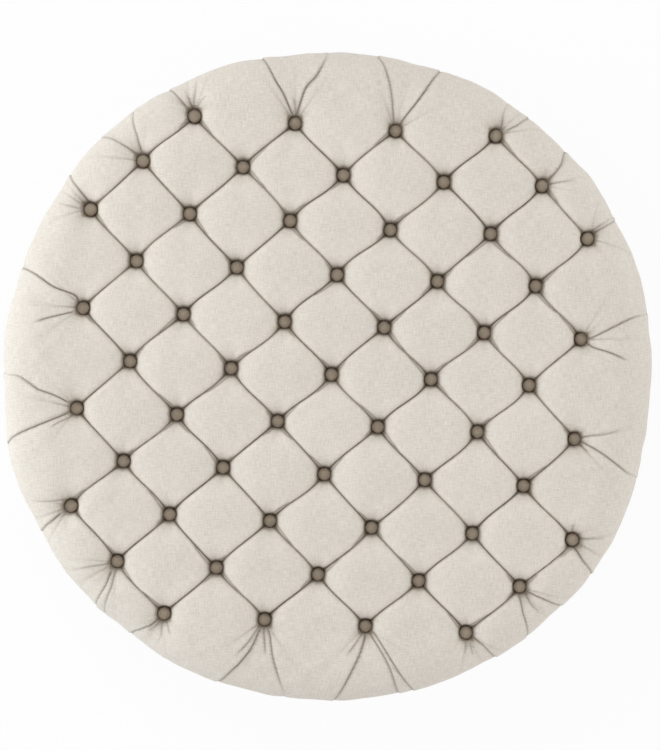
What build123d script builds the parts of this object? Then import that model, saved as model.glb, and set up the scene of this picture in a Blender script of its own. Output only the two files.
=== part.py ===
"""Round diamond-tufted ottoman coffee table, built as separate pieces.

Units are millimetres.  +Z is up and the origin is the centre of the footprint, on the floor.
The rows of buttons run along X and Y.  Every piece is written to parts/ in its assembled place.
"""
import os
from math import atan2, cos, hypot, radians, sin, sqrt

from build123d import *

# overall sizes
overall_diameter = 980.0
overall_height = 430.0

# tufting: buttons stand where the sum of the two row numbers is even
pitch_share = 0.0775          # half the diagonal of a diamond, as a share of the diameter
row_limit = 5                 # highest row number that carries a button
corner_limit = 8              # highest sum of the two row numbers that carries a button
dome_share = 1.84             # radius of a pillow's dome, as a share of the pitch
pillow_strips = 4             # strips that the dome of a pillow is lofted from
pit_half_width = 12.5         # half of the square hollow round a button
button_sink = 37.0            # from the crown down to the floor of the hollow
cover_thickness = 5.0         # fabric and flattened wadding under a button
button_diameter = 22.0
button_height = 6.0
button_shoulder_share = 0.78  # radius where the face of a button turns over to its edge
button_edge_share = 0.6       # height of that turn, as a share of the button height
button_sides = 10

# the padded edge that rolls over and runs down to the piping
roll_radius = 70.0
roll_drop = 65.0              # from the crown down to the middle of the roll
roll_angles = (45.0, 67.5, 90.0, 112.5, 150.0)
crest_shares = (1.02, 1.025, 1.0, 0.97, 1.52)    # the roll between two pleats, per angle
pleat_shares = (0.86, 0.88, 0.885, 0.86, 1.48)   # the roll in a pleat, per angle
lobe_core_share = 0.6         # inner face of a lobe, as a share of its pleat
lobe_overlap = 4.0            # how far a lobe starts inside the line of buttons
fold_step = 1.5               # how far a lobe lies below the pillow that it is sewn to
lobe_depth = 18.0
seam_drop = 4.0               # from the underside of the tufting board down to the piping's top
edge_padding_share = 0.0653   # from the frame out to the widest point, as a share of the radius
core_thickness = 11.7         # round wall of the cover that the lobes are sewn to
core_drop = 2.0               # from the floor of the hollows down to the core of the cover

# layers under the cover
foam_height = 61.0
foam_hole = 16.0
board_height = 15.0
board_hole = 7.0
tie_width = 3.0
layer_gap = 0.3               # between round pieces that fit inside each other

# wooden frame
ring_height = 18.0
ring_sides = 8
ring_width = 130.0
post_width = 38.0
post_count = 12
post_inset = 6.0              # from the outside of the frame to the outside of a post
rail_width = 38.0
rail_height = 60.0
base_height = 115.0
hoop_thickness = 3.0

# side cover, piping and dust cloth
band_thickness = 7.4
lip_height = 2.0
lip_width = 19.0
welt_height = 8.0
welt_reach = 12.5
cloth_height = 1.0

# legs and their fittings
leg_count = 4
leg_circle_inset = 68.0       # from the outside of the frame to the middle of a leg
leg_top_width = 56.0
leg_bottom_width = 34.0
leg_corner_share = 1.3        # a leg's flattened corners, as a share of its half width
leg_collar_height = 12.0
glide_height = 4.0
glide_diameter = 26.0
glide_sides = 12
block_width = 90.0
block_height = 32.0
bolt_diameter = 8.0
bolt_sides = 8
bolt_in_leg = 42.0
bolt_above_nut = 4.0
nut_diameter = 22.0
nut_height = 2.0

# worked out from the sizes above
rim_radius = overall_diameter / 2
frame_radius = rim_radius * (1 - edge_padding_share)
pit_floor_height = overall_height - button_sink
pitch = overall_diameter * pitch_share
diamond_side = pitch * sqrt(2)
dome_radius = pitch * dome_share
corner_height = overall_height - dome_radius + sqrt(dome_radius**2 - pitch**2)
side_height = overall_height - dome_radius + sqrt(dome_radius**2 - (diamond_side / 2)**2)
roll_middle = rim_radius - roll_radius
roll_height = overall_height - roll_drop
top_of_frame = base_height + ring_height
cavity_radius = frame_radius + layer_gap
foam_top = pit_floor_height - cover_thickness
foam_bottom = foam_top - foam_height
board_top = foam_bottom
board_bottom = board_top - board_height
seam_height = board_bottom - seam_drop
hoop_radius = frame_radius + layer_gap + hoop_thickness
band_inner = hoop_radius + layer_gap
band_outer = band_inner + band_thickness
leg_circle = frame_radius - leg_circle_inset
leg_top = base_height - cloth_height
post_circle = frame_radius - post_inset - post_width / 2
rail_length = 2 * post_circle - post_width
rail_bottom = board_bottom - rail_height
rail_middle = board_bottom - rail_height / 2

os.makedirs("parts", exist_ok=True)


def save(name, shape):
    """Write one piece, with the name of its node, in its assembled place."""
    shape.label = name
    export_step(shape, "parts/" + name + ".step")


def disc(radius, low, high):
    return Pos(0, 0, (low + high) / 2) * Cylinder(radius, high - low)


def ring(outer, inner, low, high):
    return disc(outer, low, high) - disc(inner, low, high)


def block(size_x, size_y, low, high):
    return Pos(0, 0, (low + high) / 2) * Box(size_x, size_y, high - low)


def prism(diameter, sides, low, high):
    """Upright prism with the given number of sides, used for small repeated pieces."""
    outline = Plane.XY.offset(low) * RegularPolygon(diameter / 2, sides)
    return extrude(outline, high - low)


def rows():
    """Row numbers of every button."""
    span = range(-row_limit, row_limit + 1)
    return [(i, j) for i in span for j in span
            if (i + j) % 2 == 0 and abs(i) + abs(j) <= corner_limit]


def full_diamonds():
    """Row numbers of the middle of every diamond with a button at all four corners."""
    held = set(rows())
    span = range(-row_limit, row_limit + 1)
    corners = ((1, 0), (-1, 0), (0, 1), (0, -1))
    return [(i, j) for i in span for j in span
            if (i + j) % 2 == 1 and all((i + a, j + b) in held for a, b in corners)]


def outer_buttons():
    """The buttons that carry the pleats, in turn round the top."""
    edge = [(i, j) for i, j in rows()
            if abs(i) == row_limit or abs(j) == row_limit or abs(i) + abs(j) == corner_limit]
    return sorted(edge, key=lambda place: atan2(place[1], place[0]))


def dome_slice(offset):
    """Section of a pillow across its loft: an arc of the dome on a straight-sided foot."""
    reach = diamond_side / 2
    slice_radius = sqrt(dome_radius**2 - offset**2)
    centre = overall_height - dome_radius
    edge = centre + sqrt(slice_radius**2 - reach**2)
    plane = Plane(origin=(offset, 0, 0), x_dir=(0, 1, 0), z_dir=(1, 0, 0))
    arc = ThreePointArc((-reach, edge), (0, centre + slice_radius), (reach, edge))
    foot = Polyline((reach, edge), (reach, foam_top), (-reach, foam_top), (-reach, edge))
    return plane * make_face([arc, foot])


def make_pillow():
    """One tufted diamond, crowned by a dome, with its middle on the Z axis."""
    slices = [dome_slice(diamond_side * (number / pillow_strips - 1 / 2))
              for number in range(pillow_strips + 1)]
    return Rot(0, 0, 45) * loft(slices, ruled=True)


def polar(radius, azimuth, height):
    return Vector(radius * cos(azimuth), radius * sin(azimuth), height)


def lobe_section(first, crest, second, first_inner, second_inner):
    arc = Edge.make_three_point_arc(first, crest, second)
    lines = Polyline(second, second_inner, first_inner, first)
    return Face(Wire([arc, *lines.edges()]))


def make_lobe(here, there):
    """The padding between two pleats, from the line of its two buttons down past the seam."""
    ends = [(hypot(*place) * pitch - lobe_overlap, atan2(place[1], place[0]))
            for place in (here, there)]
    turn = (ends[1][1] - ends[0][1]) % radians(360)
    half_turn = turn / 2
    middle = ends[0][1] + half_turn
    diagonal = abs(here[0] - there[0]) == 1
    low = corner_height - fold_step
    high = (side_height if diagonal else overall_height) - fold_step
    start = [polar(radius, azimuth, low) for radius, azimuth in ends]
    start_inner = [point - Vector(0, 0, lobe_depth) for point in start]
    crest = (start[0] + start[1]) / 2 + Vector(0, 0, high - low)
    sections = [lobe_section(start[0], crest, start[1], *start_inner)]
    for angle, crest_share, pleat_share in zip(roll_angles, crest_shares, pleat_shares):
        out, up = sin(radians(angle)), cos(radians(angle))
        pleat = roll_radius * pleat_share
        inner = pleat * lobe_core_share
        pleat_ends = [polar(roll_middle + pleat * out, middle + side * half_turn,
                            roll_height + pleat * up) for side in (-1, 1)]
        inner_ends = [polar(roll_middle + inner * out, middle + side * half_turn,
                            roll_height + inner * up) for side in (-1, 1)]
        tilt = hypot(out * cos(half_turn), up)
        bulge = roll_middle * (1 - cos(half_turn)) * out
        reach = roll_radius * crest_share + bulge
        crest = polar(roll_middle * cos(half_turn) + reach * out * cos(half_turn) / tilt, middle,
                      roll_height + reach * up / tilt)
        sections.append(lobe_section(pleat_ends[0], crest, pleat_ends[1], *inner_ends))
    return loft(sections, ruled=True)


def make_cover():
    """Tufted fabric top with the wadding behind it, down to the piping seam."""
    pillow = make_pillow()
    pieces = [Pos(i * pitch, j * pitch, 0) * pillow for i, j in full_diamonds()]
    edge = outer_buttons()
    for here, there in zip(edge, edge[1:] + edge[:1]):
        pieces.append(make_lobe(here, there))
        if abs(here[0] - there[0]) == 1:
            continue
        # between two buttons of the same row lies the inner half of an open diamond
        middle = ((here[0] + there[0]) / 2, (here[1] + there[1]) / 2)
        inward = tuple((abs(number) == row_limit) * (-1 if number > 0 else 1) for number in middle)
        half = Pos(inward[0] * pitch, inward[1] * pitch, 0) * block(
            2 * pitch, 2 * pitch, 0, overall_height * 2)
        pieces.append(Pos(middle[0] * pitch, middle[1] * pitch, 0) * (pillow & half))
    core = disc(cavity_radius + core_thickness, seam_height, pit_floor_height - core_drop)
    cover = core.fuse(*pieces)
    cover = cover.cut(*[Pos(i * pitch, j * pitch, 0) * block(
        2 * pit_half_width, 2 * pit_half_width, pit_floor_height, overall_height * 2)
        for i, j in rows()])
    cover = cover - disc(cavity_radius, 0, foam_top)
    return cover - disc(rim_radius * 2, 0, seam_height)


def at_buttons(shape):
    """Copies of one shape, one at every button."""
    return [Pos(i * pitch, j * pitch, 0) * shape for i, j in rows()]


def at_circle(shape, count, radius, start=0):
    """Copies of one shape, evenly round a circle and turned with it."""
    return [Rot(0, 0, start + number * 360 / count) * Pos(radius, 0, 0) * shape
            for number in range(count)]


def make_buttons():
    """Covered buttons: a few-sided dome on a flat back, one at every place."""
    low = pit_floor_height
    turn_height = low + button_height * button_edge_share
    radius = button_diameter / 2
    edge = Plane.XY.offset(low) * RegularPolygon(radius, button_sides)
    turn = Plane.XY.offset(turn_height) * RegularPolygon(
        radius * button_shoulder_share, button_sides)
    lower = loft([edge, turn], ruled=True)
    upper = loft([turn, Vertex(0, 0, low + button_height)], ruled=True)
    return Compound(at_buttons(lower + upper))


def make_ties():
    """Waxed tapes that run from the buttons down through the foam and the board."""
    return Compound(at_buttons(block(tie_width, tie_width, board_bottom, foam_top)))


def make_foam():
    """Firm foam under the cover, cut through at every button."""
    return disc(frame_radius, foam_bottom, foam_top).cut(
        *at_buttons(block(foam_hole, foam_hole, foam_bottom, foam_top)))


def make_board():
    """Plywood deck that the foam lies on and the ties run through."""
    return disc(frame_radius, board_bottom, board_top).cut(
        *at_buttons(block(board_hole, board_hole, board_bottom, board_top)))


def make_base_ring():
    """Plywood ring under the posts, round outside and straight-sided inside."""
    hole = prism(2 * (frame_radius - ring_width), ring_sides, base_height, top_of_frame)
    whole = disc(frame_radius, base_height, top_of_frame)
    return whole - Rot(0, 0, 180 / ring_sides) * hole


def make_rail(lap_low, lap_high):
    """Cross rail between two posts, halved where it crosses the other one."""
    rail = block(rail_length, rail_width, rail_bottom, board_bottom)
    return rail - block(rail_width, rail_width, lap_low, lap_high)


def make_band():
    """Padded fabric round the side, turned in under the edge of the base."""
    low = base_height - lip_height
    side = ring(band_outer, band_inner, base_height, seam_height - welt_height)
    lip = ring(band_outer, band_outer - lip_width, low, base_height)
    return side + lip


def make_welt():
    """Piping round the seam between the top and the side."""
    high, low = seam_height, seam_height - welt_height
    front = band_inner + welt_reach
    back = front - welt_height / 2
    outline = Polyline((band_inner, low), (back, low), (front, (high + low) / 2),
                       (back, high), (band_inner, high), close=True)
    return revolve(Plane.XZ * make_face(outline), Axis.Z)


def leg_taper(share):
    """Leg profile, seen from one side, drawn out across the whole leg."""
    collar_bottom = leg_top - leg_collar_height
    top, bottom = leg_top_width / 2 * share, leg_bottom_width / 2 * share
    outline = Polyline((-bottom, glide_height), (bottom, glide_height), (top, collar_bottom),
                       (top, leg_top), (-top, leg_top), (-top, collar_bottom), close=True)
    return extrude(Plane.XZ * make_face(outline), leg_top_width, both=True)


def make_leg():
    """Tapered square leg with a straight collar and flattened corners, bored for its bolt."""
    faces = leg_taper(1)
    corners = Rot(0, 0, 45) * leg_taper(leg_corner_share)
    leg = faces & Rot(0, 0, 90) * faces & corners & Rot(0, 0, 90) * corners
    return leg - prism(bolt_diameter, bolt_sides, leg_top - bolt_in_leg, leg_top)


def make_bolt():
    """Hanger bolt from the leg up through the cloth, the ring and the block."""
    return prism(bolt_diameter, bolt_sides, leg_top - bolt_in_leg,
                 top_of_frame + block_height + nut_height + bolt_above_nut)


def bored(shape):
    """A piece of the base with the four bolt holes through it."""
    hole = prism(bolt_diameter, bolt_sides, leg_top, top_of_frame + block_height + nut_height)
    return shape.cut(*at_circle(hole, leg_count, leg_circle, 180 / leg_count))


def make_nut():
    low = top_of_frame + block_height
    nut = prism(nut_diameter, bolt_sides, low, low + nut_height)
    return nut - prism(bolt_diameter, bolt_sides, low, low + nut_height)


save("tufted_cover", make_cover())
save("buttons", make_buttons())
save("button_ties", make_ties())
save("foam_slab", make_foam())
save("tufting_board", make_board())
save("base_ring", bored(make_base_ring()))

post = block(post_width, post_width, top_of_frame, board_bottom)
for number, shape in enumerate(at_circle(post, post_count, post_circle)):
    save("post_%d" % (number + 1), shape)
save("rail_x", make_rail(rail_middle, board_bottom))
save("rail_y", Rot(0, 0, 90) * make_rail(rail_bottom, rail_middle))

save("hoop_panel", ring(hoop_radius, cavity_radius, base_height, seam_height))
save("side_band", make_band())
save("welt", make_welt())
save("dust_cloth", bored(disc(band_outer - lip_width - layer_gap, leg_top, base_height)))

first_leg = 180 / leg_count
corner_block = block(block_width, block_width, top_of_frame, top_of_frame + block_height)
glide = prism(glide_diameter, glide_sides, 0, glide_height)
placed = {
    "leg_block": [bored(shape) for shape in at_circle(corner_block, leg_count, leg_circle, first_leg)],
    "leg": at_circle(make_leg(), leg_count, leg_circle, first_leg),
    "glide": at_circle(glide, leg_count, leg_circle, first_leg),
}
for name, shapes in placed.items():
    for number, shape in enumerate(shapes):
        save("%s_%d" % (name, number + 1), shape)
save("hanger_bolts", Compound(at_circle(make_bolt(), leg_count, leg_circle, first_leg)))
save("tee_nuts", Compound(at_circle(make_nut(), leg_count, leg_circle, first_leg)))
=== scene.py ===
import math
import random

import bmesh
import bpy
import numpy as np
from mathutils import Matrix, Vector


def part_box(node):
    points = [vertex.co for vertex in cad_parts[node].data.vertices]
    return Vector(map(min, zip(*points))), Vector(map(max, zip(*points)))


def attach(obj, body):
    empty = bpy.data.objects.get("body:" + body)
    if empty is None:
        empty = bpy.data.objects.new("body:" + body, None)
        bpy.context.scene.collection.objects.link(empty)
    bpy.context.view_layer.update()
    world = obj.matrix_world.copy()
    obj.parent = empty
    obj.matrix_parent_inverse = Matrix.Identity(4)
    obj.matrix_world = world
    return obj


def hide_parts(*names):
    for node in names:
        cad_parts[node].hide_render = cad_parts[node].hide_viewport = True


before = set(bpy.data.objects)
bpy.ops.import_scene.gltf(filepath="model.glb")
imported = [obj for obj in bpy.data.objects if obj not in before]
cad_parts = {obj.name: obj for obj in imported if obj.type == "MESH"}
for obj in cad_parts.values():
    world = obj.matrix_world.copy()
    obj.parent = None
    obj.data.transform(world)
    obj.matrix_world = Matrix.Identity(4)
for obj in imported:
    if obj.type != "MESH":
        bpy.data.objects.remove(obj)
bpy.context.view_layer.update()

random.seed(41)

# Sizes taken from the frame, in metres.
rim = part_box("tufted_cover")[1].x
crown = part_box("tufted_cover")[1].z
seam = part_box("tufted_cover")[0].z
button_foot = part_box("buttons")[0].z
button_width = 0.022
row_limit, corner_limit = 5, 8
pitch = (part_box("buttons")[1].x - button_width / 2) / row_limit
diamond = pitch * math.sqrt(2)
slab_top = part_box("foam_slab")[1].z
board_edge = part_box("hoop_panel")[1].x
board_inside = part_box("foam_slab")[1].x

# How the cover turns over the rim: flat, a quarter round, then down and in to the welt.
round_over = 0.060
flat_reach = rim - round_over
drop_length = 0.0655
seam_radius = rim - 0.0143
round_length = round_over * math.pi / 2
cloth_reach = flat_reach + round_length + drop_length
stand_out, stand_length = 0.0052, 0.07
diagonal_swell, south_east_dip, swell_length = 0.0040, 0.0030, 0.06
# A crease is two round shoulders that meet, on a low broad crown. A button sits in a funnel,
# wider to its north and south, with a steep pit at the bottom.
shoulder = 0.0078
shoulder_width = 0.0092
crown_rise = 0.0050
sink = 0.0205
sink_radius, sink_widening = 0.0135, 0.0046
pit_radius = 0.0101
pit_wall = 0.0036
pit_depth = crown - button_foot + 0.0004
hollow_edge = 0.0115
far_off = 9.0

# The photograph's frame: its size, where the middle falls, and pixels to a metre at the
# buttons' level.
picture_px = (660, 750)
middle_px = (330.0, 375.6)
px_per_metre = 661.5
turn = math.radians(3.6)


def from_photo(px, py):
    """A pixel of the photograph as a place on the plan, in metres."""
    dx, dy = (px - middle_px[0]) / px_per_metre, (py - middle_px[1]) / px_per_metre
    return (dx * math.cos(turn) + dy * math.sin(turn), dx * math.sin(turn) - dy * math.cos(turn))


def northward(dx, dy, far):
    """1 where a place lies due north of a button in the photograph, and -1 due south."""
    return (dy * math.cos(turn) - dx * math.sin(turn)) / np.maximum(far, 1e-6)


def ease(t):
    """A smooth step from 0 to 1."""
    t = np.clip(t, 0.0, 1.0)
    return t * t * (3 - 2 * t)


def bell(off, width):
    """1 in the middle, fading to both sides."""
    return np.exp(-(off / width) ** 2)


def fading(far, start, length):
    """1 as far as the start, then fading over about the length."""
    return np.exp(-np.clip(far - start, 0, 1) / length)


def raise_to(field, where, value):
    """Lifts part of a field to the value, where it is lower."""
    field[where] = np.maximum(field[where], value)


# Where the whole pattern lies off the middle, and how far its last rows are drawn back.
shift_east, shift_north = 0.0012, 0.0026
east_pull, north_pull, south_pull, north_lean = 0.0060, 0.0052, 0.0030, 0.0016

# Where the hand-laid pattern is off its even spacing: the place, how far the pull reaches, and
# the move.
pulls = (
    ((0.09, 0.25), 0.13, (0.0, -0.0055)),
    ((0.36, -0.27), 0.10, (0.0065, 0.0015)),
    ((-0.15, -0.24), 0.13, (-0.0028, 0.0010)),
    ((-0.40, -0.24), 0.09, (0.0015, 0.0050)),
    ((0.24, -0.06), 0.13, (-0.0012, 0.0026)),
    ((-0.08, 0.02), 0.09, (0.0022, -0.0022)),
    ((-0.39, 0.25), 0.08, (0.0028, -0.0036)),
)
# Where the stuffing of the rim stands out or lies in: the direction and the width in degrees,
# and how far.
swells = (
    (-30, 9, 0.0045),
    (-84, 24, 0.0032),
    (-126, 4, -0.0040),
    (-163, 12, 0.0070),
    (175, 8, 0.0055),
    (128, 22, 0.0024),
    (51, 8, -0.0055),
    (29, 10, -0.0020),
    (0, 8, -0.0015),
)


def drawn(x, y):
    """The pull of the last rows towards the middle, and the small lean of the whole pattern."""
    x2 = (x + shift_east - east_pull * ease((x - 0.20) / 0.19)
          - north_lean * ease((y - 0.30) / 0.08))
    y2 = (y + shift_north - north_pull * ease((y - 0.29) / 0.09)
          + south_pull * ease((-y - 0.29) / 0.09))
    for (cx, cy), reach, (move_x, move_y) in pulls:
        share = np.exp(-((x - cx) ** 2 + (y - cy) ** 2) / reach ** 2)
        x2, y2 = x2 + move_x * share, y2 + move_y * share
    return x2, y2


def cloth_place(u, v):
    """Lattice steps to a place on the cloth laid flat."""
    return drawn(np.asarray(pitch * (u + v)), np.asarray(pitch * (u - v)))


def button_place(i, j):
    """A button's column and row to its place on the cloth laid flat."""
    return tuple(float(c) for c in cloth_place((i + j) / 2, (i - j) / 2))


button_spots = [
    (i, j)
    for i in range(-row_limit, row_limit + 1)
    for j in range(-row_limit, row_limit + 1)
    if (i + j) % 2 == 0 and abs(i) + abs(j) <= corner_limit
]
held = {((i + j) // 2, (i - j) // 2) for i, j in button_spots}
creases = [
    (a, (a[0] + du, a[1] + dv))
    for a in sorted(held)
    for du, dv in ((1, 0), (0, 1))
    if (a[0] + du, a[1] + dv) in held
]
outer_spots = [
    (i, j) for i, j in button_spots
    if max(abs(i), abs(j)) == row_limit or abs(i) + abs(j) == corner_limit
]

# Pleats from the outer buttons to the rim, by the photograph's pixels. Each has the side
# that laps over, its height in millimetres, and its points from the button outwards.
pleats_px = (
    # north 1
    (1, 3.0, ((291, 111), (284, 95), (274, 78), (263, 60))),
    (-1, 3.0, ((298, 111), (306, 89), (317, 76), (326, 60))),
    (-1, 1.2, ((296, 111), (293, 95))),
    # north 2
    (1, 2.2, ((394, 119), (391, 92), (385, 69), (379, 58))),
    (-1, 3.0, ((404, 119), (422, 96), (438, 74))),
    # north west 1
    (1, 3.2, ((189, 111), (170, 91))),
    (1, 2.0, ((194, 110), (186, 91))),
    (-1, 2.0, ((195, 109), (199, 86), (204, 80))),
    (-1, 1.0, ((201, 105), (208, 97))),
    # north east 1
    (1, 2.2, ((500, 131), (503, 114))),
    (-1, 2.4, ((504, 133), (517, 126), (527, 120))),
    # north west 2
    (1, 2.6, ((143, 153), (138, 132), (137, 118))),
    (1, 2.2, ((138, 155), (121, 145), (105, 142))),
    # north east 2
    (1, 2.6, ((548, 181), (559, 168), (562, 157))),
    (-1, 1.2, ((554, 184), (575, 182))),
    # north west 3
    (-1, 2.6, ((88, 200), (74, 178))),
    (1, 1.6, ((83, 205), (70, 196), (62, 193))),
    (1, 1.4, ((82, 210), (57, 205))),
    # north east 3
    (1, 2.2, ((588, 234), (596, 228))),
    (-1, 2.2, ((595, 232), (609, 224))),
    # west 1
    (-1, 3.0, ((79, 303), (75, 295), (55, 287), (39, 276), (30, 271))),
    (1, 2.6, ((74, 312), (49, 318), (32, 325))),
    # east 1
    (1, 2.6, ((593, 337), (617, 325), (632, 318))),
    (-1, 2.6, ((593, 347), (610, 353), (631, 363))),
    # west 2
    (-1, 2.6, ((70, 403), (55, 395), (39, 389), (23, 377))),
    (1, 3.0, ((68, 413), (46, 422), (25, 432), (13, 443))),
    (1, 1.4, ((71, 417), (60, 422), (49, 429))),
    # east 2
    (1, 1.4, ((588, 436), (605, 434), (624, 428))),
    (-1, 2.6, ((586, 444), (602, 453), (624, 471))),
    (-1, 1.4, ((580, 445), (589, 453))),
    # south west 3
    (1, 2.8, ((64, 511), (55, 519), (42, 531))),
    (-1, 1.4, ((65, 499), (49, 500), (32, 496))),
    # south east 3
    (1, 1.4, ((577, 537), (603, 536))),
    (-1, 2.8, ((572, 545), (580, 558), (589, 572))),
    (1, 1.2, ((571, 530), (573, 522))),
    # south west 2
    (-1, 2.8, ((113, 569), (107, 585), (99, 603))),
    (-1, 2.2, ((116, 573), (112, 590), (107, 614))),
    (1, 1.4, ((106, 563), (84, 565), (70, 566))),
    # south east 2
    (1, 2.6, ((518, 594), (523, 617), (525, 634))),
    (-1, 1.8, ((525, 594), (531, 604), (541, 613))),
    (-1, 2.8, ((526, 590), (541, 597), (556, 602))),
    # south west 1
    (1, 2.6, ((160, 617), (148, 625), (136, 629))),
    (1, 1.6, ((161, 620), (147, 631))),
    (-1, 1.4, ((162, 634), (156, 645))),
    (-1, 1.4, ((169, 624), (172, 635))),
    # south 1
    (1, 2.8, ((258, 632), (252, 645), (241, 660), (229, 671), (217, 680))),
    (1, 1.8, ((256, 630), (246, 643), (234, 655))),
    (-1, 1.8, ((264, 634), (265, 646), (266, 658))),
    (-1, 2.6, ((270, 634), (273, 655), (278, 673), (284, 688))),
    # south 2
    (1, 2.8, ((364, 638), (359, 654), (348, 676), (335, 696))),
    (1, 1.6, ((360, 635), (353, 646), (344, 656))),
    (-1, 2.4, ((373, 637), (382, 652), (391, 670), (397, 689))),
    (-1, 2.4, ((376, 634), (394, 663), (410, 684))),
    # south east 1
    (-1, 2.6, ((472, 635), (483, 644), (493, 654))),
    (1, 1.4, ((465, 642), (463, 655))),
    (-1, 1.4, ((469, 641), (473, 657))),
)


def wrap(x, y):
    """Takes the flat cloth over the rim. Gives the place, and the way out of the surface."""
    s = np.hypot(x, y)
    cx, cy = x / np.maximum(s, 1e-9), y / np.maximum(s, 1e-9)
    a = np.clip((s - flat_reach) / round_over, 0.0, math.pi / 2)
    t = np.clip((s - flat_reach - round_length) / drop_length, 0.0, 1.0)
    # The padding lies flatter towards the seam.
    flatter = 1 - 0.8 * ease(t)
    drop = crown - round_over - seam
    r = np.minimum(s, flat_reach) + round_over * np.sin(a) - (rim - seam_radius) * t * t
    r = r + stand_out * ease((s - flat_reach) / stand_length) * flatter
    z = crown - round_over * (1 - np.cos(a)) - drop * t
    lean = 2 * (rim - seam_radius) * t / drop_length
    nr, nz = np.sin(a), np.cos(a) - lean
    size = np.hypot(nr, nz)
    nr, nz = nr / size, nz / size
    # The four diagonals stand out a little more than the four straight rows.
    angle = np.arctan2(y, x)
    swell = (diagonal_swell * np.cos(4 * angle + math.pi)
             - south_east_dip * np.clip(np.cos(angle + math.pi / 4), 0, 1) ** 4)
    for way, width, far in swells:
        off = np.abs((np.degrees(angle) - way + 180) % 360 - 180)
        swell = swell + far * bell(off, width)
    swell = swell * ease((s - flat_reach) / swell_length) * flatter
    place = np.stack(((r + swell) * cx, (r + swell) * cy, z), axis=1)
    return place, np.stack((nr * cx, nr * cy, nz), axis=1)


def spread_from_plan(x, y):
    """A place seen from above, as a place on the cloth laid flat."""
    steepest = 0.995
    r = math.hypot(x, y)
    if r <= flat_reach:
        return x, y
    s = flat_reach + round_over * math.asin(min(steepest, (r - flat_reach) / round_over))
    return x * s / r, y * s / r


def rolling(x, y, length, seed, waves=14):
    """A smooth random field of about the given wavelength, between -1 and 1."""
    pick = np.random.RandomState(seed)
    total = np.zeros_like(x)
    for _ in range(waves):
        way = pick.uniform(0, 2 * math.pi)
        k = 2 * math.pi / (length * pick.uniform(0.7, 1.5))
        total += np.cos(k * (x * math.cos(way) + y * math.sin(way)) + pick.uniform(0, 2 * math.pi))
    return total / math.sqrt(waves * 2)


def bowed(u, v):
    """Bows each crease a little between its two buttons, which stay where they are."""
    half = 12
    bow, blunt, blunt_spread = 0.025, 0.012, 0.010
    bends = np.random.RandomState(7).uniform(-1, 1, (4, 2 * half, 2 * half))
    fu, fv = np.floor(u).astype(int), np.floor(v).astype(int)
    tu, tv = u - fu, v - fv

    def bend(kind, a, b, t):
        a, b = np.clip(a + half, 0, 2 * half - 1), np.clip(b + half, 0, 2 * half - 1)
        # Each pillow is blunt at its left and right corners, which bends the creases to a long S.
        return (bow * bends[kind][a, b] * np.sin(math.pi * t)
                + (blunt + blunt_spread * bends[kind + 2][a, b]) * np.sin(math.tau * t))

    bow_v = (1 - ease(tv)) * bend(0, fu, fv, tu) + ease(tv) * bend(0, fu, fv + 1, tu)
    bow_u = (1 - ease(tu)) * bend(1, fv, fu, tv) + ease(tu) * bend(1, fv, fu + 1, tv)
    return u + bow_u, v + bow_v


def from_line(x, y, a, b):
    """Distance from the line between two points, how far along it, the side, and how far along
    the line run on past its ends."""
    dx, dy = b[0] - a[0], b[1] - a[1]
    length = math.hypot(dx, dy)
    t = ((x - a[0]) * dx + (y - a[1]) * dy) / (length * length)
    tc = np.clip(t, 0.0, 1.0)
    away = np.hypot(x - a[0] - tc * dx, y - a[1] - tc * dy)
    side = ((x - a[0]) * dy - (y - a[1]) * dx) / length
    return away, tc, side, t


def smooth_points(points, steps=6):
    """Points on a smooth line through the given ones."""
    pts = [2 * points[0] - points[1], *points, 2 * points[-1] - points[-2]]
    out = []
    for a, b, c, d in zip(pts, pts[1:], pts[2:], pts[3:]):
        for k in range(steps):
            t = k / steps
            out.append(0.5 * (2 * b + (c - a) * t + (2 * a - 5 * b + 4 * c - d) * t * t
                              + (3 * b - a - 3 * c + d) * t ** 3))
    return out + [points[-1]]


def pleat_runs():
    """Every pleat as its side, its height, its points on the flat cloth, run on down the side
    where it reaches the rim, and how much it fades at its end and where it turns over the rim."""
    runs = []
    for lap, height, pixels in pleats_px:
        pts = [Vector(spread_from_plan(*from_photo(*p))) for p in pixels]
        button = min((Vector(button_place(i, j)) for i, j in outer_spots),
                     key=lambda spot: (spot - pts[0]).length)
        gap = pts[0] - button
        if gap.length > 0.0155:
            pts.insert(0, button + gap.normalized() * hollow_edge)
        end_fade, rim_fade = 1.0, 0.80
        reach = pts[-1].length
        if reach > flat_reach + 0.30 * round_length and height > 2.0:
            # Some are still open at the photograph's outline, and the others have faded there.
            end_fade = 0.4
            rim_fade = 0.30 if reach > flat_reach + 0.62 * round_length else 0.80
            out = (pts[-1] - pts[-2]).normalized() * 0.35 + pts[-1].normalized()
            last = pts[-1]
            for step in (0.022, 0.050, 0.090, 0.135):
                pts.append(last + out.normalized() * step)
        runs.append((lap, height / 1000, smooth_points(pts), end_fade, rim_fade))
    return runs


pleats = pleat_runs()


def beside(x, y, points, margin):
    """Marks the places in the box round a run of points."""
    xs, ys = [p.x for p in points], [p.y for p in points]
    return ((x > min(xs) - margin) & (x < max(xs) + margin)
            & (y > min(ys) - margin) & (y < max(ys) + margin))


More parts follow.
